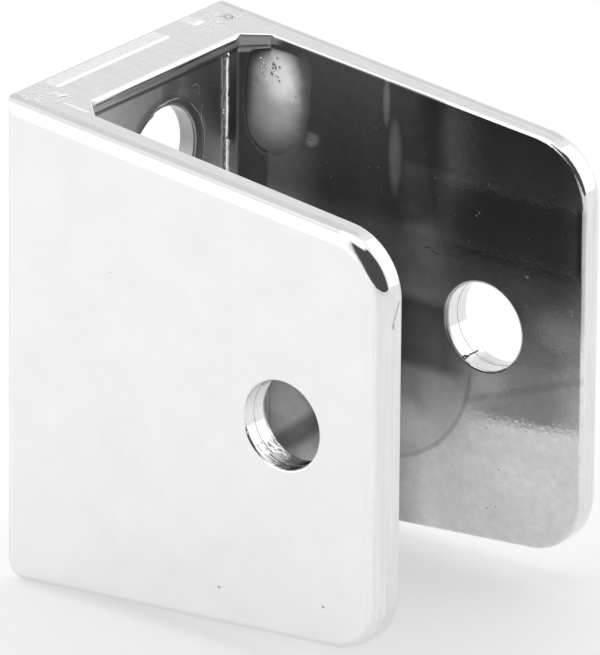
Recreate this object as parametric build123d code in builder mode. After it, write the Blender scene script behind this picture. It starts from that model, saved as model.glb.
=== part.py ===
"""U-bracket for a panel: one zinc die casting, chrome plated.

A tall web lies against the wall and two equal legs stand out from it, with
the panel held between them by one bolt through both legs. The legs get lower
and thinner towards their ends. The web's wall face is hollowed to keep the
casting's walls alike.

Frame: X runs from the wall face (X = 0) towards the legs' ends, Y across the
two legs and Z up, with the origin in the middle of the wall face.
"""

from build123d import *

import os
from math import radians, tan

# Overall sizes, in millimetres and degrees
height = 47.0
width = 33.1
projection = 43.0
top_taper = 5.4
bottom_taper = 4.8

# Walls
leg_root = 3.8
leg_draft = 1.05
web_thickness = 5.75
web_floor = 1.9

# Rounds along the edges
end_radius = 6.0
heel_radius = 2.0
outer_round = 1.4
inner_round = 0.35
hole_round = 0.25

# Inside corners between the web and the legs
corner_facet = 2.1
corner_blend = 0.6

# The lip along the top and the bottom of the web's inner face
lip_height = 1.3
lip_step = 0.25

# Holes, with their distances from the legs' ends and from the web's ends
panel_bolt_diameter = 8.4
panel_bolt_margin = 11.15
wall_screw_diameter = 9.2
wall_screw_margin = 9.2

# The pocket in the wall face
pocket_margin = 3.2
pocket_radius = 3.0
pocket_draft = 2.0
pocket_floor_round = 0.6

# How far the cutting tools run past the faces that they open
overrun = 5.0

# Heights on the tapered outline
top_end = height / 2 - projection * tan(radians(top_taper))
bottom_end = -height / 2 + projection * tan(radians(bottom_taper))
lip_under = height / 2 - web_thickness * tan(radians(top_taper)) - lip_height
lip_over = -height / 2 + web_thickness * tan(radians(bottom_taper)) + lip_height

recess_floor = web_thickness - lip_step
pocket_depth = recess_floor - web_floor


def gap_half(x):
    """Half of the gap between the legs at the distance x from the wall."""
    return width / 2 - leg_root + x * tan(radians(leg_draft))


def gap_outline(floor_x, mouth_x, level):
    """The gap between the legs seen from above, from floor_x at the web to mouth_x."""
    facet_x = floor_x + corner_facet
    facet_y = gap_half(facet_x)
    floor_y = facet_y - corner_facet
    with BuildSketch(Plane.XY.offset(level)) as outline:
        with BuildLine():
            Polyline(
                (mouth_x, -gap_half(mouth_x)),
                (facet_x, -facet_y),
                (floor_x, -floor_y),
                (floor_x, floor_y),
                (facet_x, facet_y),
                (mouth_x, gap_half(mouth_x)),
                close=True,
            )
        make_face()
        fillet(outline.vertices().group_by(Axis.X)[0], radius=corner_blend)
        facet_ends = outline.vertices().filter_by(lambda v: abs(v.X - facet_x) < 0.001)
        fillet(facet_ends, radius=corner_blend)
    return outline.sketch


def faces_the_gap(face):
    """True for the upright faces that line the gap between the legs."""
    middle = face.center()
    lines_gap = abs(middle.Y) < gap_half(projection) and middle.X > web_floor
    return lines_gap and abs(face.normal_at().Z) < 0.01


def is_on_rim(edge):
    """False for the upright edges in the corners between the web and the legs."""
    upright = edge.tangent_at(0.5).cross(Vector(0, 0, 1)).length < 0.01
    return not (upright and (edge @ 0.5).X < projection / 2)


def is_off_the_wall(edge):
    return (edge @ 0.5).X > 0.001


def is_pocket_floor(face):
    """True for the flat bottom of the pocket in the wall face."""
    return face.geom_type == GeomType.PLANE and abs(face.center().X - pocket_depth) < 0.001


def hole_rims(part, diameter):
    """The round edges at both ends of each hole of this diameter."""
    walls = part.faces().filter_by(GeomType.CYLINDER)
    walls = walls.filter_by(lambda f: abs(f.radius - diameter / 2) < 0.001)
    return walls.edges().filter_by(GeomType.LINE, reverse=True)


with BuildPart() as bracket:
    # Legs and web in one block, drawn from the side
    with BuildSketch(Plane.XZ) as side:
        with BuildLine():
            Polyline(
                (0, -height / 2),
                (projection, bottom_end),
                (projection, top_end),
                (0, height / 2),
                close=True,
            )
        make_face()
        fillet(side.vertices().group_by(Axis.X)[-1], radius=end_radius)
        fillet(side.vertices().sort_by(Axis.Y)[0], radius=heel_radius)
    extrude(amount=width / 2, both=True)

    # Gap for the panel, with its rim eased
    gap = gap_outline(web_thickness, projection + overrun, -height)
    extrude(gap, amount=2 * height, mode=Mode.SUBTRACT)
    rim = bracket.faces().filter_by(faces_the_gap).edges().filter_by(is_on_rim)
    fillet(rim, radius=inner_round)

    # Rounds along the outer edges of the legs, which run out at the wall face
    leg_faces = bracket.faces().filter_by(Axis.Y).group_by(SortBy.AREA)[-1]
    fillet(leg_faces.edges().filter_by(is_off_the_wall), radius=outer_round)

    # Inner face of the web set back between the two lips, with sloped ends
    recess_mouth = web_thickness + corner_facet + corner_blend
    recess_bottom = lip_over + lip_step
    recess_top = lip_under - lip_step
    recess = gap_outline(recess_floor, recess_mouth, recess_bottom)
    extrude(recess, amount=recess_top - recess_bottom, mode=Mode.SUBTRACT)
    for recess_end, lip_edge in ((recess_bottom, lip_over), (recess_top, lip_under)):
        wide = gap_outline(recess_floor, recess_mouth, recess_end)
        narrow = gap_outline(web_thickness, recess_mouth, lip_edge)
        loft([wide, narrow], ruled=True, mode=Mode.SUBTRACT)

    # Pocket in the wall face
    with BuildSketch(Plane.YZ) as pocket:
        RectangleRounded(
            width - 2 * leg_root,
            height - 2 * pocket_margin,
            pocket_radius,
        )
    extrude(amount=pocket_depth, taper=pocket_draft, mode=Mode.SUBTRACT)
    pocket_floor = bracket.faces().filter_by(is_pocket_floor)
    fillet(pocket_floor.edges(), radius=pocket_floor_round)

    # Holes for the panel's bolt and for the two wall screws
    with Locations(Plane.XZ.offset(width / 2)):
        with Locations((projection - panel_bolt_margin, 0)):
            Hole(panel_bolt_diameter / 2)
    with Locations(Plane.YZ.offset(web_thickness)):
        with GridLocations(0, height - 2 * wall_screw_margin, 1, 2):
            Hole(wall_screw_diameter / 2)
    fillet(hole_rims(bracket, panel_bolt_diameter), radius=hole_round)
    fillet(hole_rims(bracket, wall_screw_diameter), radius=hole_round)

bracket.part.label = "bracket"

os.makedirs("parts", exist_ok=True)
export_step(bracket.part, "parts/bracket.step")
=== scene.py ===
"""Looks of the chrome-plated U-bracket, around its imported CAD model.

The studio is in metres. The plating and the marks on the casting are written
in millimetres along the object's own axes: X away from the wall, Y across the
two legs and Z up.
"""

from math import cos, hypot, pi, radians, sin
from random import Random

import bpy
from mathutils import Matrix, Vector


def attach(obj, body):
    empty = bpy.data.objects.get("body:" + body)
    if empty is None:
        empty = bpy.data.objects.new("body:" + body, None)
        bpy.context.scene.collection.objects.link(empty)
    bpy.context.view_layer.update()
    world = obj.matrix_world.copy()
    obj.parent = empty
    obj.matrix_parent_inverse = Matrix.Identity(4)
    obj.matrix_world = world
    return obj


MM = 0.001

# Camera, as worked out from the photograph, with its angles in degrees
IMAGE_WIDTH = 600
IMAGE_HEIGHT = 655
CAMERA_AZIMUTH = 37.52
CAMERA_ELEVATION = 22.20
CAMERA_ROLL = 0.478
CAMERA_DISTANCE = 1166 * MM
CAMERA_TARGET = Vector((19.08 * MM, 0, 0))
TARGET_PIXEL = (281.32, 337.08)
FOCAL_PIXELS = 12888.8
SENSOR = 36.0
NEAREST_SEEN = 0.05
FARTHEST_SEEN = 20

# Studio: angles in degrees, azimuth 0 towards -Y and 90 towards +X
FLOOR_LEVEL = -23.34 * MM
FLOOR_REACH = 3.0
FLOOR_COLOUR = (0.59, 0.59, 0.59, 1)
FLOOR_GLOW = 0.46
WHITE = (1, 1, 1, 1)
CARD_RADIUS = 1.5
# Azimuths below this one are counted on past 180, so that no card is cut there
WRAP_AZIMUTH = -100
# A card's fades are those of its west side, its east side and its top
DARK_CARD = {"azimuth": (-9, 124), "elevation": (0.5, 70), "strength": 0.085, "fades": (7, 7, 3)}
LEFT_SOFTBOX = {"azimuth": (-66, -11), "elevation": (-0.5, 72), "strength": 1.55, "fades": (3, 3, 4)}
RIGHT_SOFTBOX = {"azimuth": (123, 178), "elevation": (-0.5, 54), "strength": 1.4, "fades": (4, 2, 4)}
TOP_SOFTBOX = {"radius": 1.6, "centre": (0, 0.15, 0.98), "half_angle": 27, "strength": 1.4, "fade": 2}

# The casting: levels and places that the marks on it start from
TOP_LEVEL = 23.5
TOP_SLOPE = 0.0945
BOTTOM_LEVEL = -23.5
BOTTOM_SLOPE = 0.08397
WEB_INNER = 5.5
LEG_INNER = 12.75
LEG_SLOPE = 0.01833
# The facets in the inner corners: their start across the web and the X of their end
FACET_START = 10.5
FACET_END = 7.6
# Each hole's centre in its face's two coordinates, and its radius
PANEL_HOLE = (31.85, 0.0, 4.2)
SCREW_HOLE = (0.0, 14.3, 4.6)

# The legs' inner faces look hollow up to this X, with a slope that grows by this each millimetre
HOLLOW_END = 19.0
HOLLOW_SLOPE = 0.0227

# Tones of the plating, from 0 to 1: how much it reflects, and in many places painted reflection, painted
# highlight and painted shade
STAINED = (0.77, 0.85)
# Painted reflection: the tone of the top faces, grey for the grey that they mirror
TOP_FACES_PAINTED_GREY = 0.72
# Painted reflection: a darker band on the top faces beside the legs' round edges
TOP_DARK_REFLECTION_BAND = 0.63
TOP_SMUDGE = 0.36
# Painted highlight: a white dash along the inner top edge beside the web
TOP_PAINTED_HIGHLIGHT = 1.0
END_SCRATCH = 0.42
PIT = 0.45
# Painted reflection on the legs' inner faces: low at the ends, high at the ends, a bright band, and above
# it
LEG_ENDS_PAINTED_REFLECTION = (0.78, 0.5, 1.0, 0.68)
# Painted shade on the legs' inner faces deep in the U, low and high
LEG_MIDDLE_PAINTED_SHADE = (0.42, 0.27)
LEG_PATCH = 0.78
# Painted reflection on the web's inner face: left and right
WEB_LEFT_PAINTED_REFLECTION = 0.86
WEB_RIGHT_PAINTED_REFLECTION = 0.46
WEB_SHADOW = 0.4
# Painted shade: the facets in the inner corners are painted nearly black
CORNER_FACET_PAINTED_SHADE = 0.055
LIP = (0.42, 0.62)
# Painted shade: the dark line under the lip
LIP_PAINTED_SHADE = 0.3
CLOUD_EDGE = (0.1, 0.2)

# Factors on those tones
END_STREAKS = (0.84, 1.12)
# Painted light: the legs' outer side faces are painted brighter
LEG_FACES_PAINTED_LIGHT = 1.12
TOP_STREAKS = (0.88, 1.12)
TOP_GRAIN = (0.92, 1.08)
INNER_MOTTLE = (0.82, 1.18)
INNER_CLOUDS = (0.86, 1.14)
# Painted shade high on the legs' inner faces: nearer the web and further out
LEG_HIGH_PAINTED_SHADE = (0.62, 0.36)
LEG_IN_REFLECTED_CIRCLE = 0.86
LEG_ON_REFLECTED_CIRCLE = 0.78
LEG_ON_REFLECTED_LINE = 0.84
LEG_ON_BAND = 0.42
LEG_PAINTED_SHADE_BEFORE_HOLE = 0.4
LEG_PAINTED_REFLECTION_BESIDE_WEB = 3.2
WEB_ON_BURR = 0.72
WEB_IN_BURR = 0.75

# How rough the plating is
POLISHED = 0.035
INNER_ENDS = 0.06
FROSTED = 0.34
FACET_ROUGHNESS = 0.3
CLOUD_ROUGHNESS = 0.42
LIP_ROUGHNESS = 0.6

# Heights of the waves in the plating, in millimetres
BROAD_WAVES = 0.004
FINE_OUTSIDE = 0.0012
FINE_ON_RIM = 0.012
FINE_INSIDE = 0.006
DRILL_TURNS = 0.02
HOLE_RIPPLES = 0.045

# Patches on the legs' inner faces: whether their outline wavers, centre, radii and strength
LEG_PATCHES = (
    (True, (26.5, 6.6), (3.6, 3.4), 0.5),
    (False, (37.2, 9.4), (0.8, 3.2), 0.35),
    (False, (20.8, 19.3), (0.5, 3.0), 0.45),
    (False, (21.8, 14.2), (0.9, 4.5), 0.5),
    (True, (11.7, 19.7), (0.9, 2.6), 0.16),
    (True, (12.4, 13.6), (1.1, 0.9), 0.5),
    (False, (22.8, -11.2), (4.4, 2.8), 0.6),
    (True, (10.4, -13.6), (3.2, 3.6), 0.7),
    (True, (14.0, -18.6), (3.6, 2.6), 0.6),
)
# Pits in the legs' outer faces: centre, radii and strength
PITS = (
    ((24.97, -17.46), (0.22, 0.18), 1.0),
    ((36.73, -16.23), (0.24, 0.16), 1.0),
    ((12.4, 9.8), (0.16, 0.12), 0.6),
)
# A faint circle low on the legs' inner faces, a painted reflection: its centre, radius and softness
LEG_REFLECTED_CIRCLE = ((19.6, -4.5), 10.95, 0.22)
# Darker stripes on them, the first a painted reflection of a line, and a paler painted highlight on the
# web's top: both ends and half the width
LEG_REFLECTED_LINE = ((30.0, -7.6), (43.5, -2.4), 0.35)
LEG_BAND = ((7.6, -18.4), (17.5, -10.7), 0.95)
PAINTED_HIGHLIGHT_DASH = ((4.3, -13.08), (7.1, -13.0), 0.12)
# A darker smudge on the web's top, and a shadow on its inner face: centre, radii and strength
SMUDGE = ((2.7, 12.9), (0.75, 0.95), 0.75)
SHADOW = ((1.0, 20.5), (1.8, 1.5), 0.8)
# The scratch on the near leg's end face: a stripe, and the spot below it
SCRATCH_LINE = ((-14.1, 14.0), (-14.9, 12.2), 0.09)
SCRATCH_FOOT = ((-14.95, 11.9), (0.25, 0.5))
# The cloud of burnt plating, partly painted reflection of the light from above, along the corner's
# outline and Z: centre and radii of its parts
CLOUD = ((18.2, 17.0), (4.4, 6.6))
CLOUD_TOP_PAINTED_LIGHT = ((18.6, 18.9), (3.5, 3.8))
CLOUD_FOOT = ((16.2, 13.4), (2.8, 4.2))
# The way its plating faces: away from the wall, towards the other leg and up
CLOUD_FACING = (0.31, 0.6, 0.73)

# The rounded rim along the web's top and bottom, seen from above
RIM_RADIUS = 0.45
RIM_PATH = ((5.1, -11.3), (5.3, -10.8), (5.42, -10.0), (5.42, 10.0), (5.3, 10.8), (5.1, 11.3))

# The step on the web's top edge: its profile along X, its spans along Y and their ramps
STEP_START = 0.1
STEP_WIDTH = 1.7
STEP_RUN = 0.27
STEP_SPANS = ((-10.7, 5.2), (9.3, 10.25))
STEP_RAMP = 0.3
STEP_SUNK = 0.02

# The beads down the inner corners: Y and top of each, and what they share
BEADS = ((9.1, 21.6), (-9.1, 19.5))
BEAD_FOOT = -21.3
BEAD_POINTS = 110
BEAD_SWAY = 0.035
BEAD_RADIUS = 0.26
BEAD_GROWTH = 0.16

# The drill rings in the panel holes and the burrs around the screw holes
DRILL_RING = {"aside": 15.1, "past_hole": 0.02, "radius": 0.04, "points": 48}
BURR = {"shift": (0.6, -0.3), "past_hole": 0.75, "sway": 0.09, "radii": (0.06, 0.16), "points": 64}

# Fine lines on a face: its name, points in the face's two coordinates, and the radius.
# In a hole the coordinates are Y and the angle around the hole in degrees.
DARK_LINES = (
    ("top", ((3.15, 12.3), (3.25, 12.7), (3.05, 13.2), (2.75, 13.5)), 0.025),
    ("leg", ((25.3, 6.21), (25.8, 6.3), (26.3, 5.95), (26.75, 5.85), (27.2, 6.2), (28.1, 5.9)), 0.07),
    ("hole", ((13.36, -119), (13.9, -120), (14.4, -121.5), (15.1, -121), (15.6, -121.5)), 0.08),
    ("hole", ((13.36, -122), (13.7, -123), (14.0, -121)), 0.11),
)
PALE_LINES = (
    ("web", ((4.1, 19.8), (4.8, 19.85), (5.25, 19.3), (4.95, 18.9), (5.55, 18.3)), 0.04),
    ("web", ((5.55, 18.3), (5.7, 17.5), (5.4, 16.9), (6.0, 15.7), (6.3, 14.6)), 0.04),
)

# Lumps on a face: its name, the ranges of its two coordinates, their number and their radii
TOP_NODULES = (
    ("top", (0.9, 3.9), (-15.0, -10.4), 80, (0.06, 0.2)),
    ("top", (0.9, 3.2), (-10.4, 8.0), 60, (0.05, 0.12)),
    ("top", (0.9, 3.9), (8.6, 15.0), 80, (0.06, 0.2)),
    ("top", (2.3, 3.4), (-12.1, -11.6), 7, (0.2, 0.34)),
    ("web", (8.8, 9.4), (13.6, 16.8), 18, (0.14, 0.3)),
    ("web", (-9.4, -8.8), (-17.0, -13.0), 14, (0.1, 0.22)),
    ("leg", (7.75, 8.8), (18.2, 20.7), 18, (0.06, 0.16)),
    ("facet", (6.95, 7.5), (18.4, 20.6), 16, (0.06, 0.15)),
)
INNER_NODULES = (
    ("web", (-8.0, 8.0), (-20.0, 21.0), 40, (0.05, 0.1)),
    ("leg", (11.8, 12.7), (13.2, 14.2), 5, (0.1, 0.2)),
    ("leg", (36.4, 36.9), (6.0, 6.5), 3, (0.06, 0.12)),
    ("leg", (41.4, 41.9), (3.6, 4.0), 3, (0.08, 0.14)),
    ("leg", (9.0, 41.0), (-18.0, 17.5), 90, (0.04, 0.09)),
)
# The way that a face's lumps stand out, and their height as a share of their radius
NODULE_OUT = {"top": (0, 0, 1), "web": (1, 0, 0), "leg": (0, -1, 0), "facet": (0.7071, -0.7071, 0)}
NODULE_HEIGHT = {"top": 0.35, "web": 0.5, "leg": 0.3, "facet": 0.3}
# No lump lies closer to a hole than this
HOLE_MARGIN = 0.4

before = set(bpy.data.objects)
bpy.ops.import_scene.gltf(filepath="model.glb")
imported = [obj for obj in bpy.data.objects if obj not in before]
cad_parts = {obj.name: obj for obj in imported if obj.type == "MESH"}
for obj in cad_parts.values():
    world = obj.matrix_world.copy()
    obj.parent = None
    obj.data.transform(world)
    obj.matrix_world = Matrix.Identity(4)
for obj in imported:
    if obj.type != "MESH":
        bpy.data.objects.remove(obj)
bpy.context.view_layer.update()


class Nodes:
    """Short calls that add nodes to one material and link them; a value is a socket or a number."""

    def __init__(self, tree):
        self.tree = tree
        self.shader = tree.nodes["Principled BSDF"]
        self.output = tree.nodes["Material Output"]

    def add(self, kind, inputs=None, **settings):
        """A new node with its settings, and with values at its inputs."""
        node = self.tree.nodes.new(kind)
        for name, value in settings.items():
            setattr(node, name, value)
        for key, value in (inputs or {}).items():
            self.put(node.inputs[key], value)
        return node

    def put(self, socket, value):
        """Links another socket to this one, or sets its value."""
        if isinstance(value, bpy.types.NodeSocket):
            self.tree.links.new(value, socket)
        else:
            socket.default_value = value

    def maths(self, operation, *values):
        """The result of one operation on numbers."""
        node = self.add("ShaderNodeMath", operation=operation)
        for socket, value in zip(node.inputs, values):
            self.put(socket, value)
        return node.outputs[0]

    def product(self, first, *others):
        """All the values multiplied."""
        result = first
        for other in others:
            result = self.maths("MULTIPLY", result, other)
        return result

    def most(self, first, *others):
        """The largest of the values."""
        result = first
        for other in others:
            result = self.maths("MAXIMUM", result, other)
        return result

    def spread(self, value, start, end, low=0.0, high=1.0):
        """A smooth step of the value from start to end; start may be the larger."""
        inputs = {"Value": value, "From Min": start, "From Max": end, "To Min": low, "To Max": high}
        return self.add("ShaderNodeMapRange", inputs, interpolation_type="SMOOTHSTEP").outputs[0]

    def scale(self, value, low, high):
        """A factor between 0 and 1 stretched to low and high."""
        inputs = {"Value": value, "To Min": low, "To Max": high}
        return self.add("ShaderNodeMapRange", inputs).outputs[0]

    def between(self, value, low, high, soft):
        """1 where the value lies from low to high, with edges of the given softness."""
        rise = self.spread(value, low - soft, low + soft)
        fall = self.spread(value, high + soft, high - soft)
        return self.maths("MULTIPLY", rise, fall)

    def mix(self, factor, low, high):
        """low where the factor is 0 and high where it is 1."""
        node = self.add("ShaderNodeMix", data_type="FLOAT")
        self.put(node.inputs[0], factor)
        self.put(node.inputs[2], low)
        self.put(node.inputs[3], high)
        return node.outputs[0]

    def times(self, value, mask, factor):
        """The value, multiplied by the factor where the mask is 1."""
        return self.product(value, self.mix(mask, 1.0, factor))

    def noise(self, vector, size, detail=2.0, roughness=0.5):
        """Noise with blobs of about the given size."""
        inputs = {"Vector": vector, "Scale": 1 / size, "Detail": detail, "Roughness": roughness}
        return self.add("ShaderNodeTexNoise", inputs).outputs[0]

    def grey(self, tone):
        """A tone as a colour."""
        return self.add("ShaderNodeCombineColor", {0: tone, 1: tone, 2: tone}).outputs[0]

    def emit(self, strength):
        """Makes the material a plain white light."""
        light = self.add("ShaderNodeEmission", {"Strength": strength})
        self.put(self.output.inputs["Surface"], light.outputs[0])


class CastingNodes(Nodes):
    """The nodes of the plating, with the place on the casting in millimetres."""

    def __init__(self, tree):
        super().__init__(tree)
        coordinates = self.add("ShaderNodeTexCoord").outputs
        scaled = {0: coordinates["Object"], "Scale": 1 / MM}
        self.place = self.add("ShaderNodeVectorMath", scaled, operation="SCALE").outputs[0]
        self.normal = coordinates["Normal"]
        self.x, self.y, self.z = self.add("ShaderNodeSeparateXYZ", {0: self.place}).outputs
        self.normal_z = self.add("ShaderNodeSeparateXYZ", {0: self.normal}).outputs[2]
        self.aside = self.maths("ABSOLUTE", self.y)
        self.level = self.maths("ABSOLUTE", self.z)

    def stretched(self, factors):
        """The place with each of its coordinates multiplied."""
        inputs = {0: self.place, 1: factors}
        return self.add("ShaderNodeVectorMath", inputs, operation="MULTIPLY").outputs[0]

    def on_facet(self, outside, inside):
        """1 on the facets in the inner corners, with an edge on the leg's side at these X."""
        past_start = self.spread(self.aside, FACET_START, FACET_START + 0.4)
        return self.product(past_start, self.spread(self.x, outside, inside))


def circle(centre, across, along, radius, steps):
    """Points around a centre, in the plane of two directions."""
    middle = Vector(centre)
    first = Vector(across)
    second = Vector(along)
    turns = [2 * pi * step / steps for step in range(steps)]
    return [middle + radius * (cos(turn) * first + sin(turn) * second) for turn in turns]


class Shape:
    """Points and faces of one piece, gathered from simple forms."""

    def __init__(self):
        self.points = []
        self.faces = []

    def grid(self, rows, around):
        """A skin over rows of points, each row a closed loop where around is set."""
        start = len(self.points)
        wide = len(rows[0])
        for row in rows:
            self.points.extend(tuple(point) for point in row)
        for row in range(len(rows) - 1):
            for column in range(wide if around else wide - 1):
                after = (column + 1) % wide
                first = start + row * wide
                second = first + wide
                self.faces.append((first + column, first + after, second + after, second + column))

    def tube(self, path, radii, closed=False, sides=8):
        """A round wire along a path, with a radius for each of its points."""
        count = len(path)
        rows = []
        side = None
        for index, point in enumerate(path):
            before = path[(index - 1) % count] if closed or index else point
            after = path[(index + 1) % count] if closed or index < count - 1 else point
            way = (Vector(after) - Vector(before)).normalized()
            if side is None:
                side = way.orthogonal().normalized()
            side = (side - way * side.dot(way)).normalized()
            rows.append(circle(point, side, way.cross(side), radii[index], sides))
        if closed:
            rows.append(rows[0])
        else:
            rows.insert(0, [Vector(path[0])] * sides)
            rows.append([Vector(path[-1])] * sides)
        self.grid(rows, around=True)

    def dome(self, centre, out, radius, height, sides=10, rings=4):
        """A flat lump on a surface, sunk a little into it."""
        out = Vector(out).normalized()
        side = out.orthogonal().normalized()
        other = out.cross(side)
        rows = []
        for index in range(rings + 1):
            slope = pi / 2 * (index / rings)
            middle = Vector(centre) + out * (height * 1.2 * sin(slope) - height * 0.2)
            rows.append(circle(middle, side, other, radius * cos(slope), sides))
        self.grid(rows, around=True)

    def piece(self, name, material):
        """The shape, in millimetres, as an object that rides with the casting."""
        mesh = bpy.data.meshes.new(name)
        mesh.from_pydata([Vector(point) * MM for point in self.points], [], self.faces)
        mesh.polygons.foreach_set("use_smooth", [True] * len(mesh.polygons))
        mesh.materials.append(material)
        thing = bpy.data.objects.new(name, mesh)
        bpy.context.scene.collection.objects.link(thing)
        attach(thing, "root")
        return thing


def make_camera():
    """The camera looks a little past the target, so that it needs no shift."""
    azimuth = radians(CAMERA_AZIMUTH)
    elevation = radians(CAMERA_ELEVATION)
    roll = radians(CAMERA_ROLL)
    back = Vector((sin(azimuth) * cos(elevation), -cos(azimuth) * cos(elevation), sin(elevation)))
    level_right = (-back).cross(Vector((0, 0, 1))).normalized()
    level_up = level_right.cross(-back)
    right = cos(roll) * level_right + sin(roll) * level_up
    up = -sin(roll) * level_right + cos(roll) * level_up
    per_pixel = CAMERA_DISTANCE / FOCAL_PIXELS
    aside = (IMAGE_WIDTH / 2 - TARGET_PIXEL[0]) * per_pixel
    above = (TARGET_PIXEL[1] - IMAGE_HEIGHT / 2) * per_pixel
    place = CAMERA_TARGET + back * CAMERA_DISTANCE
    look = (CAMERA_TARGET + right * aside + up * above - place).normalized()
    right = look.cross(up).normalized()
    up = right.cross(look)
    data = bpy.data.cameras.new("camera")
    data.sensor_width = SENSOR
    data.lens = FOCAL_PIXELS * SENSOR / IMAGE_HEIGHT
    data.clip_start = NEAREST_SEEN
    data.clip_end = FARTHEST_SEEN
    camera = bpy.data.objects.new("camera", data)
    turn = Matrix((right, up, -look)).transposed().to_4x4()
    camera.matrix_world = Matrix.Translation(place) @ turn
    bpy.context.scene.collection.objects.link(camera)
    bpy.context.scene.camera = camera


def new_material(name, kind=Nodes):
    """A new material, and the calls that add to its nodes."""
    material = bpy.data.materials.new(name)
    material.use_nodes = True
    return material, kind(material.node_tree)


def make_world():
    """An even white light from all around."""
    world = bpy.data.worlds.new("studio")
    world.use_nodes = True
    background = world.node_tree.nodes["Background"]
    background.inputs["Color"].default_value = WHITE
    background.inputs["Strength"].default_value = 1
    bpy.context.scene.world = world


def stage_object(name, points, faces, material):
    """A thing of the studio, which is no part of the object."""
    mesh = bpy.data.meshes.new(name)
    mesh.from_pydata(points, [], faces)
    mesh.materials.append(material)
    thing = bpy.data.objects.new(name, mesh)
    bpy.context.scene.collection.objects.link(thing)
    return thing


def floor_material():
    """White paper: its glow makes it white to the camera and in the metal, and shadows stay."""
    material, nodes = new_material("floor_paper")
    path = nodes.add("ShaderNodeLightPath").outputs
    seen = nodes.maths("ADD", path["Is Camera Ray"], path["Is Glossy Ray"])
    seen = nodes.maths("ADD", seen, path["Is Transmission Ray"])
    paper = nodes.shader.inputs
    paper["Base Color"].default_value = FLOOR_COLOUR
    paper["Roughness"].default_value = 1
    paper["Specular IOR Level"].default_value = 0
    paper["Emission Color"].default_value = WHITE
    nodes.put(paper["Emission Strength"], nodes.product(seen, FLOOR_GLOW))
    return material


def make_floor():
    """A square floor under the object."""
    corners = [(-1, -1), (1, -1), (1, 1), (-1, 1)]
    points = [(a * FLOOR_REACH, b * FLOOR_REACH, FLOOR_LEVEL) for a, b in corners]
    stage_object("floor", points, [(0, 1, 2, 3)], floor_material())


def card_material(name, card):
    """A card's own light, which fades to the white of the world at its edges."""
    material, nodes = new_material(name)
    place = nodes.add("ShaderNodeTexCoord").outputs["Object"]
    x, y, z = nodes.add("ShaderNodeSeparateXYZ", {0: place}).outputs
    azimuth = nodes.maths("ARCTAN2", x, nodes.product(y, -1.0))
    behind = nodes.maths("LESS_THAN", azimuth, radians(WRAP_AZIMUTH))
    azimuth = nodes.maths("ADD", azimuth, nodes.product(behind, 2 * pi))
    elevation = nodes.maths("ARCSINE", nodes.maths("DIVIDE", z, CARD_RADIUS))
    west, east, above = (radians(fade) for fade in card["fades"])
    low, high = (radians(angle) for angle in card["azimuth"])
    top = radians(card["elevation"][1])
    past_west = nodes.spread(azimuth, low, low + 2 * west)
    before_east = nodes.spread(azimuth, high, high - 2 * east)
    below_top = nodes.spread(elevation, top, top - 2 * above)
    nodes.emit(nodes.mix(nodes.product(past_west, before_east, below_top), 1.0, card["strength"]))
    return material


def make_card(name, card, steps=24):
    """Part of a sphere around the object, seen in the metal only."""
    west, east = card["azimuth"]
    low, high = card["elevation"]
    rows = []
    for row in range(steps + 1):
        elevation = radians(low + (high - low) * row / steps)
        points = []
        for column in range(steps + 1):
            azimuth = radians(west + (east - west) * column / steps)
            way = (sin(azimuth) * cos(elevation), -cos(azimuth) * cos(elevation), sin(elevation))
            points.append([CARD_RADIUS * part for part in way])
        rows.append(points)
    sheet = Shape()
    sheet.grid(rows, around=False)
    stage_object(name, sheet.points, sheet.faces, card_material(name, card)).visible_camera = False


def overhead_material(name, card):
    """The overhead softbox's light, which fades to the white of the world at its edge."""
    material, nodes = new_material(name)
    middle = tuple(Vector(card["centre"]).normalized())
    place = nodes.add("ShaderNodeTexCoord").outputs["Object"]
    dot = nodes.add("ShaderNodeVectorMath", {0: place, 1: middle}, operation="DOT_PRODUCT")
    away = nodes.maths("ARCCOSINE", nodes.maths("DIVIDE", dot.outputs["Value"], card["radius"]))
    edge = radians(card["half_angle"])
    inner = edge - 2 * radians(card["fade"])
    nodes.emit(nodes.mix(nodes.spread(away, edge, inner), 1.0, card["strength"]))
    return material


def make_overhead_softbox(name, card, steps=32, rings=12):
    """A round cap of a sphere above the object, seen in the metal only."""
    middle = Vector(card["centre"]).normalized()
    side = middle.orthogonal().normalized()
    other = middle.cross(side)
    rows = []
    for index in range(rings + 1):
        angle = radians(card["half_angle"]) * index / rings
        centre = middle * card["radius"] * cos(angle)
        rows.append(circle(centre, side, other, card["radius"] * sin(angle), steps))
    cap = Shape()
    cap.grid(rows, around=True)
    stage_object(name, cap.points, cap.faces, overhead_material(name, card)).visible_camera = False


def spot(nodes, across, along, centre, radii, strength=1.0):
    """A soft ellipse in two coordinates: its strength in the middle, 0 outside."""
    right = nodes.maths("DIVIDE", nodes.maths("SUBTRACT", across, centre[0]), radii[0])
    above = nodes.maths("DIVIDE", nodes.maths("SUBTRACT", along, centre[1]), radii[1])
    squares = nodes.maths("ADD", nodes.product(right, right), nodes.product(above, above))
    return nodes.product(nodes.spread(squares, 1.0, 0.0), strength)


def ring(nodes, across, along, centre, radius, soft):
    """Two masks of a circle: one for its line and one for what lies within it."""
    right = nodes.maths("SUBTRACT", across, centre[0])
    above = nodes.maths("SUBTRACT", along, centre[1])
    squares = nodes.maths("ADD", nodes.product(right, right), nodes.product(above, above))
    distance = nodes.maths("SQRT", squares)
    line = nodes.between(distance, radius - soft, radius + soft, soft / 2)
    return line, nodes.spread(distance, radius + soft, radius - soft)


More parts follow.
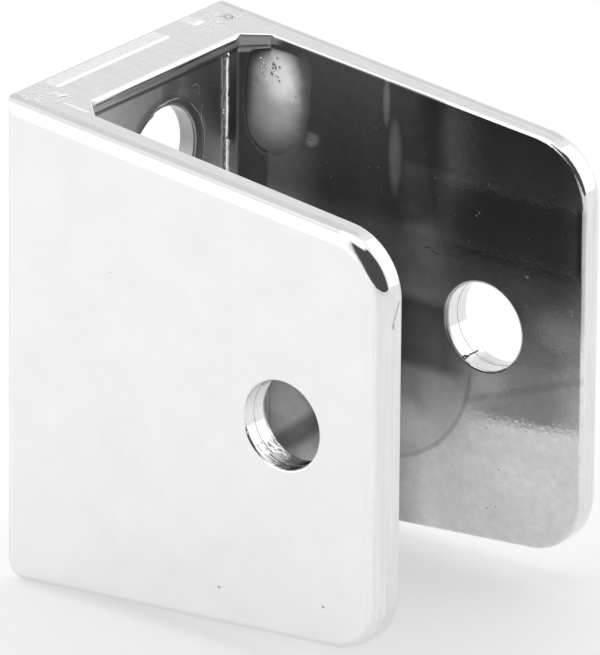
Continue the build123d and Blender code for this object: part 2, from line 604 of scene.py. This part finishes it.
def stripe(nodes, across, along, start, end, half_width):
    """A soft straight stripe between two points of a face."""
    length = hypot(end[0] - start[0], end[1] - start[1])
    way = ((end[0] - start[0]) / length, (end[1] - start[1]) / length)
    right = nodes.maths("SUBTRACT", across, start[0])
    above = nodes.maths("SUBTRACT", along, start[1])
    onward = nodes.maths("ADD", nodes.product(right, way[0]), nodes.product(above, way[1]))
    sideways = nodes.maths("SUBTRACT", nodes.product(above, way[0]), nodes.product(right, way[1]))
    ends = nodes.between(onward, 0, length, half_width)
    return nodes.product(ends, nodes.between(sideways, -half_width, half_width, half_width * 0.6))


def painted_leg_reflection(nodes, warped):
    """Painted reflection and shade on the legs' inner faces, by height and by the distance from the web,
    without their marks.
    """
    x = nodes.x
    z = nodes.z
    low_end, high_end, bright_band, above_band = LEG_ENDS_PAINTED_REFLECTION
    ends = nodes.mix(nodes.spread(z, -3.0, 5.0), low_end, high_end)
    off_the_rim = nodes.spread(x, 42.4, 41.8)
    ends = nodes.mix(nodes.product(nodes.spread(z, 6.9, 7.9), off_the_rim), ends, bright_band)
    ends = nodes.mix(nodes.spread(z, 13.6, 14.4), ends, above_band)
    middle = nodes.mix(nodes.spread(z, -9.0, -5.0), *LEG_MIDDLE_PAINTED_SHADE)
    tone = nodes.mix(nodes.spread(warped, 27.0, 21.0), ends, middle)
    high = nodes.product(nodes.spread(z, 6.8, 9.0), nodes.spread(x, 28.5, 26.0))
    return nodes.times(tone, high, nodes.spread(x, 21.0, 26.0, *LEG_HIGH_PAINTED_SHADE))


def legs_painted_reflection(nodes, shift):
    """The legs' inner faces: painted reflection and shade, darker near the web and brighter low at the
    ends, with soft patches.
    """
    x = nodes.x
    z = nodes.z
    warped = nodes.maths("ADD", x, shift)
    tone = painted_leg_reflection(nodes, warped)
    line, within = ring(nodes, x, z, *LEG_REFLECTED_CIRCLE)
    low = nodes.spread(z, -2.5, -6.0)
    # Painted reflection: darker within the faint circle and on its line
    tone = nodes.times(tone, nodes.product(within, low), LEG_IN_REFLECTED_CIRCLE)
    tone = nodes.times(tone, nodes.product(line, low), LEG_ON_REFLECTED_CIRCLE)
    # Painted reflection: a darker line mirrored in the legs' inner faces
    tone = nodes.times(tone, stripe(nodes, x, z, *LEG_REFLECTED_LINE), LEG_ON_REFLECTED_LINE)
    patches = []
    for wavers, centre, radii, strength in LEG_PATCHES:
        patches.append(spot(nodes, warped if wavers else x, z, centre, radii, strength))
    tone = nodes.mix(nodes.most(*patches), tone, LEG_PATCH)
    tone = nodes.times(tone, stripe(nodes, x, z, *LEG_BAND), LEG_ON_BAND)
    # Painted shade: darker on the legs' inner faces before the panel hole
    shade_before_hole = nodes.product(nodes.spread(x, 31.0, 27.5), nodes.between(z, -5.7, 1.0, 0.7))
    tone = nodes.times(tone, shade_before_hole, LEG_PAINTED_SHADE_BEFORE_HOLE)
    # Painted reflection: brighter on the legs' inner faces beside the web
    reflection_beside_web = nodes.product(nodes.spread(x, 14.5, 8.0), nodes.between(z, -1.0, 13.5, 2.0))
    return nodes.times(tone, reflection_beside_web, LEG_PAINTED_REFLECTION_BESIDE_WEB)


def web_painted_reflection(nodes, shift):
    """The web's inner face: painted reflection, lighter on the left and darker at the right, and darker
    round the screw holes.
    """
    right = nodes.spread(nodes.maths("ADD", nodes.y, shift), 0.5, 5.0)
    tone = nodes.mix(right, WEB_LEFT_PAINTED_REFLECTION, WEB_RIGHT_PAINTED_REFLECTION)
    tone = nodes.mix(spot(nodes, nodes.y, nodes.level, *SHADOW), tone, WEB_SHADOW)
    line, within = ring(nodes, nodes.aside, nodes.level, SCREW_HOLE, SCREW_HOLE[2] + 0.7, 0.4)
    tone = nodes.times(tone, line, WEB_ON_BURR)
    return nodes.times(tone, within, WEB_IN_BURR)


def inner_tone_and_painted_reflection(nodes):
    """The inside's tone: painted reflection and shade on the legs, the web and the facets, with their
    mottling.
    """
    shift = nodes.scale(nodes.noise(nodes.place, 3.0, detail=3), -1.5, 1.5)
    on_web = nodes.spread(nodes.x, 5.95, 5.85)
    tone = nodes.mix(on_web, legs_painted_reflection(nodes, shift), web_painted_reflection(nodes, shift))
    # Painted shade on the facets in the inner corners
    tone = nodes.mix(nodes.on_facet(7.66, 7.42), tone, CORNER_FACET_PAINTED_SHADE)
    mottle = nodes.noise(nodes.place, 0.8, detail=4, roughness=0.65)
    cloudy = nodes.noise(nodes.place, 6.0, detail=2)
    tone = nodes.product(tone, nodes.scale(mottle, *INNER_MOTTLE))
    return nodes.product(tone, nodes.scale(cloudy, *INNER_CLOUDS))


def top_tone_and_painted_reflection(nodes):
    """The top faces: a painted grey reflection, drawn along, with a darker painted reflection band beside
    the legs' round edges and a painted highlight dash.
    """
    x = nodes.x
    y = nodes.y
    drawn = nodes.noise(nodes.stretched((0.06, 1, 1)), 0.4, detail=3, roughness=0.6)
    grain = nodes.noise(nodes.place, 0.5, detail=4, roughness=0.65)
    # Painted reflection: the top faces' grey tone, darker in a band beside the legs' round edges
    tone = nodes.mix(nodes.between(nodes.aside, 14.8, 15.6, 0.15), TOP_FACES_PAINTED_GREY, TOP_DARK_REFLECTION_BAND)
    tone = nodes.product(tone, nodes.scale(drawn, *TOP_STREAKS), nodes.scale(grain, *TOP_GRAIN))
    tone = nodes.mix(spot(nodes, x, y, *SMUDGE), tone, TOP_SMUDGE)
    # Painted highlight: the pale dash on the top face
    return nodes.mix(stripe(nodes, x, y, *PAINTED_HIGHLIGHT_DASH), tone, TOP_PAINTED_HIGHLIGHT)


def outer_tone_and_painted_light(nodes):
    """The polished outside: faint stains, drawn streaks down the legs' end faces, painted light on the
    legs' side faces and the top faces' painted reflection.
    """
    stains = nodes.noise(nodes.place, 5.0, detail=4, roughness=0.6)
    tone = nodes.scale(stains, *STAINED)
    streaks = nodes.noise(nodes.stretched((1, 1, 0.04)), 0.35, detail=3, roughness=0.6)
    on_end = nodes.spread(nodes.x, 40.5, 42.2)
    tone = nodes.times(tone, on_end, nodes.scale(streaks, *END_STREAKS))
    on_face = nodes.spread(nodes.aside, 16.3, 16.5)
    # Painted light makes the legs' outer side faces brighter
    tone = nodes.times(tone, on_face, LEG_FACES_PAINTED_LIGHT)
    # The faces that look up take the top tone, with its painted reflection
    on_top = nodes.spread(nodes.normal_z, 0.9, 0.96)
    tone = nodes.mix(on_top, tone, top_tone_and_painted_reflection(nodes))
    scratch = nodes.most(
        stripe(nodes, nodes.y, nodes.z, *SCRATCH_LINE),
        spot(nodes, nodes.y, nodes.z, *SCRATCH_FOOT),
    )
    tone = nodes.mix(nodes.product(scratch, on_end), tone, END_SCRATCH)
    pits = nodes.most(*[spot(nodes, nodes.x, nodes.z, *pit) for pit in PITS])
    return nodes.mix(nodes.product(pits, on_face), tone, PIT)


def inside_mask(nodes):
    """1 on the inner faces of the U and in its screw holes, 0 on the outside."""
    within = nodes.spread(nodes.aside, 13.9, 13.6)
    in_hole = ring(nodes, nodes.aside, nodes.level, SCREW_HOLE, SCREW_HOLE[2] + 0.2, 0.1)[1]
    hole_wall = nodes.product(in_hole, nodes.spread(nodes.x, 0.3, 1.0))
    from_web = nodes.most(nodes.spread(nodes.x, 4.9, 5.3), hole_wall)
    upright = nodes.spread(nodes.maths("ABSOLUTE", nodes.normal_z), 0.75, 0.35)
    return nodes.product(within, from_web, nodes.most(upright, in_hole))


def burnt_cloud_and_painted_light(nodes):
    """The milky cloud of burnt plating in the upper corners, partly painted light from above: its mask
    and its tone.
    """
    around = nodes.maths("ADD", nodes.x, nodes.product(nodes.aside, 0.77))
    wavering = nodes.scale(nodes.noise(nodes.place, 1.6, detail=5), -0.7, 0.7)
    around = nodes.maths("ADD", around, wavering)
    clear = nodes.product(nodes.spread(nodes.x, 5.7, 6.6), nodes.spread(nodes.z, 21.6, 21.0))
    cloud = nodes.product(spot(nodes, around, nodes.z, *CLOUD), clear)
    top = spot(nodes, around, nodes.z, *CLOUD_TOP_PAINTED_LIGHT)
    # Painted light: the cloud is paler towards its top, where the light from above falls in
    thick_and_lit = nodes.maths("ADD", nodes.product(cloud, cloud, 0.5), nodes.product(top, top, 0.6))
    film = nodes.scale(nodes.noise(nodes.place, 1.1, detail=5, roughness=0.65), 0.6, 1.1)
    edge = nodes.scale(spot(nodes, around, nodes.z, *CLOUD_FOOT), *CLOUD_EDGE)
    return cloud, nodes.maths("ADD", nodes.product(film, thick_and_lit), edge)


def inner_normal(nodes, inside, tilt):
    """The normal of the inner faces, turned without a change of their outline.

    The legs' inner faces curve slightly towards the web. In the cloud the burnt
    plating scatters the light from above and from the left.
    """
    slope = nodes.product(nodes.maths("SUBTRACT", HOLLOW_END, nodes.x), HOLLOW_SLOPE)
    slope = nodes.maths("MAXIMUM", slope, 0.0)
    on_leg = nodes.product(nodes.spread(nodes.aside, 12.5, 12.85), nodes.spread(nodes.x, 7.5, 8.2))
    push = nodes.add("ShaderNodeCombineXYZ", {0: nodes.product(slope, inside, on_leg)}).outputs[0]
    pushed = {0: nodes.normal, 1: push}
    leaning = nodes.add("ShaderNodeVectorMath", pushed, operation="ADD").outputs[0]
    away, across, up = CLOUD_FACING
    across = nodes.product(nodes.maths("SIGN", nodes.y), -across)
    raised = nodes.add("ShaderNodeCombineXYZ", {0: away, 1: across, 2: up}).outputs[0]
    mixed = nodes.add("ShaderNodeMix", data_type="VECTOR")
    nodes.put(mixed.inputs[0], nodes.product(tilt, inside))
    nodes.put(mixed.inputs[4], leaning)
    nodes.put(mixed.inputs[5], raised)
    turned = nodes.add("ShaderNodeVectorTransform", {0: mixed.outputs[1]})
    turned.vector_type = "NORMAL"
    turned.convert_from = "OBJECT"
    turned.convert_to = "WORLD"
    return turned.outputs[0]


def surface_relief(nodes, inside, normal):
    """Fine waves of the plating, rougher inside, on the rims and in the panel holes."""
    broad = nodes.noise(nodes.place, 3.5, detail=2)
    fine = nodes.noise(nodes.place, 0.45, detail=3, roughness=0.6)
    rim = nodes.product(nodes.spread(nodes.x, 4.2, 3.2), nodes.spread(nodes.z, 22.7, 23.0))
    amount = nodes.mix(inside, nodes.mix(rim, FINE_OUTSIDE, FINE_ON_RIM), FINE_INSIDE)
    height = nodes.maths("ADD", nodes.product(broad, BROAD_WAVES), nodes.product(fine, amount))
    wall = ring(nodes, nodes.x, nodes.z, PANEL_HOLE, PANEL_HOLE[2] - 0.1, 0.25)[0]
    turns = nodes.noise(nodes.stretched((0.05, 1, 0.05)), 0.22, detail=3)
    ripples = nodes.product(nodes.noise(nodes.place, 0.6, detail=2), nodes.spread(nodes.z, -2.0, -3.4))
    height = nodes.maths("ADD", height, nodes.product(turns, wall, DRILL_TURNS))
    height = nodes.maths("ADD", height, nodes.product(ripples, wall, HOLE_RIPPLES))
    inputs = {"Height": height, "Distance": MM, "Strength": 1.0, "Normal": normal}
    return nodes.add("ShaderNodeBump", inputs).outputs[0]


def chrome_plate():
    """The casting's plating: polished outside, duller and marked inside, with painted reflection,
    highlight and shade.
    """
    material, nodes = new_material("chrome_plate", CastingNodes)
    inside = inside_mask(nodes)
    on_facet = nodes.on_facet(7.9, 7.6)
    cloud, milky = burnt_cloud_and_painted_light(nodes)
    tilt = nodes.spread(cloud, 0.0, 0.2)
    tone = nodes.mix(tilt, inner_tone_and_painted_reflection(nodes), milky)
    # At the cloud's edge on a facet the turned plating mirrors darker things, so a painted highlight
    # makes it paler
    painted_lift = nodes.product(tilt, nodes.maths("SUBTRACT", 1.0, tilt), 0.3)
    tone = nodes.maths("ADD", tone, nodes.product(painted_lift, on_facet))

    # The lip around the web's edges is brighter, with a dark line of painted shade under it
    lip = nodes.product(nodes.spread(nodes.level, 21.75, 21.95), nodes.spread(nodes.x, 9.3, 8.0))
    under_lip = nodes.between(nodes.level, 21.15, 21.65, 0.12)
    painted_lip_shade = nodes.product(under_lip, nodes.spread(nodes.x, 8.4, 7.6))
    tone = nodes.mix(lip, tone, nodes.spread(nodes.aside, 5.0, 9.0, *LIP))
    tone = nodes.mix(painted_lip_shade, tone, LIP_PAINTED_SHADE)

    frosted = nodes.spread(nodes.maths("ADD", nodes.x, nodes.product(nodes.z, 0.15)), 33.0, 25.0)
    worn = nodes.mix(frosted, INNER_ENDS, FROSTED)
    worn = nodes.mix(on_facet, worn, FACET_ROUGHNESS)
    worn = nodes.mix(nodes.spread(cloud, 0.0, 0.1), worn, CLOUD_ROUGHNESS)
    worn = nodes.mix(lip, worn, LIP_ROUGHNESS)

    plating = nodes.shader.inputs
    nodes.put(plating["Base Color"], nodes.grey(nodes.mix(inside, outer_tone_and_painted_light(nodes), tone)))
    nodes.put(plating["Roughness"], nodes.mix(inside, POLISHED, worn))
    nodes.put(plating["Metallic"], nodes.mix(nodes.product(cloud, inside), 1.0, 0.9))
    normal = inner_normal(nodes, inside, tilt)
    nodes.put(plating["Normal"], surface_relief(nodes, inside, normal))
    return material


def relief_chrome(name, dark, bright, roughness):
    """The plating of the small marks that stand out of the casting."""
    material, nodes = new_material(name)
    coordinates = nodes.add("ShaderNodeTexCoord").outputs
    grain = nodes.noise(coordinates["Object"], 0.4 * MM, detail=3)
    nodes.put(nodes.shader.inputs["Base Color"], nodes.grey(nodes.scale(grain, dark, bright)))
    nodes.shader.inputs["Metallic"].default_value = 1
    nodes.shader.inputs["Roughness"].default_value = roughness
    return material


def top_level(x):
    """The height of the casting's top faces."""
    return TOP_LEVEL - TOP_SLOPE * x


def leg_face(x):
    """How far a leg's inner face lies from the middle."""
    return LEG_INNER + LEG_SLOPE * x


def surface_point(surface, first, second):
    """A point on a named face of the casting, from its two coordinates there."""
    if surface == "top":
        return (first, second, top_level(first))
    if surface == "web":
        return (WEB_INNER, first, second)
    if surface == "hole":
        x, z, radius = PANEL_HOLE
        turn = radians(second)
        return (x + radius * cos(turn), first, z + radius * sin(turn))
    if surface == "facet":
        return (first, leg_face(FACET_END) - (FACET_END - first), second)
    return (first, leg_face(first), second)


def over_a_hole(surface, first, second):
    """True where a lump would hang over a hole of its face."""
    if surface == "leg":
        x, z, radius = PANEL_HOLE
        return hypot(first - x, second - z) < radius + HOLE_MARGIN
    if surface == "web":
        y, z, radius = SCREW_HOLE
        return hypot(first - y, abs(second) - z) < radius + HOLE_MARGIN
    return False


def jagged(random, start, end, count, sway):
    """A wavering path between two points, and a factor for the thickness at each."""
    path = []
    factors = []
    for index in range(count):
        share = index / (count - 1)
        point = [a + (b - a) * share for a, b in zip(start, end)]
        path.append([part + random.uniform(-sway, sway) for part in point])
        factors.append(random.uniform(0.75, 1.25))
    return path, factors


def make_parting_step(material):
    """The step on the web's top edge where the mould's halves met, at both of its ends."""
    shape = Shape()
    near = TOP_LEVEL - STEP_SUNK
    ledge = top_level(STEP_WIDTH) - STEP_SUNK
    foot = top_level(STEP_WIDTH + STEP_RUN) - STEP_SUNK
    for low_y, high_y in STEP_SPANS:
        rows = []
        for y, share in ((low_y - STEP_RAMP, 0), (low_y, 1), (high_y, 1), (high_y + STEP_RAMP, 0)):
            crest = ledge + share * (near - ledge)
            rows.append(((STEP_START, y, near), (STEP_WIDTH, y, crest), (STEP_WIDTH + STEP_RUN, y, foot)))
        shape.grid(rows, around=False)
    piece = shape.piece("parting_step", material)
    piece.data.polygons.foreach_set("use_smooth", [False] * len(piece.data.polygons))


def make_rolled_rim(material):
    """The rounded bright edge along the web's top and bottom, on the inside."""
    shape = Shape()
    for turn in (1, -1):
        path = []
        for x, y in RIM_PATH:
            edge = top_level(x) if turn > 0 else BOTTOM_LEVEL + BOTTOM_SLOPE * x
            path.append((x, y, edge - turn * RIM_RADIUS))
        shape.tube(path, [RIM_RADIUS] * len(path), sides=20)
    shape.piece("rolled_rim", material)


def make_corner_beads(material):
    """The uneven bright bead of plating down each inner corner, thicker towards its top."""
    random = Random(5)
    shape = Shape()
    for y, top in BEADS:
        foot = (WEB_INNER, y, BEAD_FOOT)
        path, factors = jagged(random, foot, (WEB_INNER, y, top), BEAD_POINTS, BEAD_SWAY)
        radii = []
        for index, factor in enumerate(factors):
            share = index / (BEAD_POINTS - 1)
            radii.append(factor * (BEAD_RADIUS + BEAD_GROWTH * share))
        shape.tube(path, radii)
    shape.piece("corner_beads", material)


def make_casting_marks(material):
    """Drill rings in the panel holes, and burrs around the screw holes."""
    random = Random(7)
    shape = Shape()
    sway = BURR["sway"]
    for side in (-1, 1):
        x, z, radius = PANEL_HOLE
        centre = (x, side * DRILL_RING["aside"], z)
        reach = radius + DRILL_RING["past_hole"]
        drilled = circle(centre, (1, 0, 0), (0, 0, 1), reach, DRILL_RING["points"])
        shape.tube(drilled, [DRILL_RING["radius"]] * len(drilled), closed=True)
        y, z, radius = SCREW_HOLE
        centre = (WEB_INNER, y + BURR["shift"][0], side * (z + BURR["shift"][1]))
        burr = []
        for point in circle(centre, (0, 1, 0), (0, 0, 1), radius + BURR["past_hole"], BURR["points"]):
            moved = Vector((0, random.uniform(-sway, sway), random.uniform(-sway, sway)))
            burr.append(point + moved)
        shape.tube(burr, [random.uniform(*BURR["radii"]) for _ in burr], closed=True)
    shape.piece("casting_marks", material)


def make_lines(name, lines, material):
    """Fine lines where the plating is split or has run."""
    shape = Shape()
    for surface, path, radius in lines:
        points = [surface_point(surface, first, second) for first, second in path]
        shape.tube(points, [radius] * len(points), sides=6)
    shape.piece(name, material)


def make_nodules(name, clusters, material, seed):
    """Lumps of plating on the casting's faces, in clusters."""
    random = Random(seed)
    shape = Shape()
    for surface, first_range, second_range, count, radius_range in clusters:
        for _ in range(count):
            first = random.uniform(*first_range)
            second = random.uniform(*second_range)
            radius = random.uniform(*radius_range)
            if over_a_hole(surface, first, second):
                continue
            height = radius * NODULE_HEIGHT[surface]
            if surface == "top":
                # No lump rises above the casting's highest edge
                height = min(height, 0.8 * TOP_SLOPE * first)
            shape.dome(surface_point(surface, first, second), NODULE_OUT[surface], radius, height)
    shape.piece(name, material)


make_camera()
make_world()
make_floor()
make_card("dark_card", DARK_CARD)
make_card("left_softbox", LEFT_SOFTBOX)
make_card("right_softbox", RIGHT_SOFTBOX)
make_overhead_softbox("top_softbox", TOP_SOFTBOX)

bright_relief = relief_chrome("chrome_bright_relief", 0.7, 0.95, 0.1)
dull_relief = relief_chrome("chrome_dull_relief", 0.25, 0.5, 0.3)
scar_relief = relief_chrome("chrome_scar", 0.06, 0.16, 0.5)
make_parting_step(bright_relief)
make_rolled_rim(bright_relief)
make_corner_beads(bright_relief)
make_casting_marks(dull_relief)
make_lines("dark_scars", DARK_LINES, scar_relief)
make_lines("pale_runs", PALE_LINES, dull_relief)
make_nodules("top_nodules", TOP_NODULES, bright_relief, 21)
make_nodules("inner_nodules", INNER_NODULES, dull_relief, 22)

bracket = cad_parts["bracket"]
bracket.data.materials.clear()
bracket.data.materials.append(chrome_plate())

bpy.context.scene.view_settings.view_transform = "Standard"
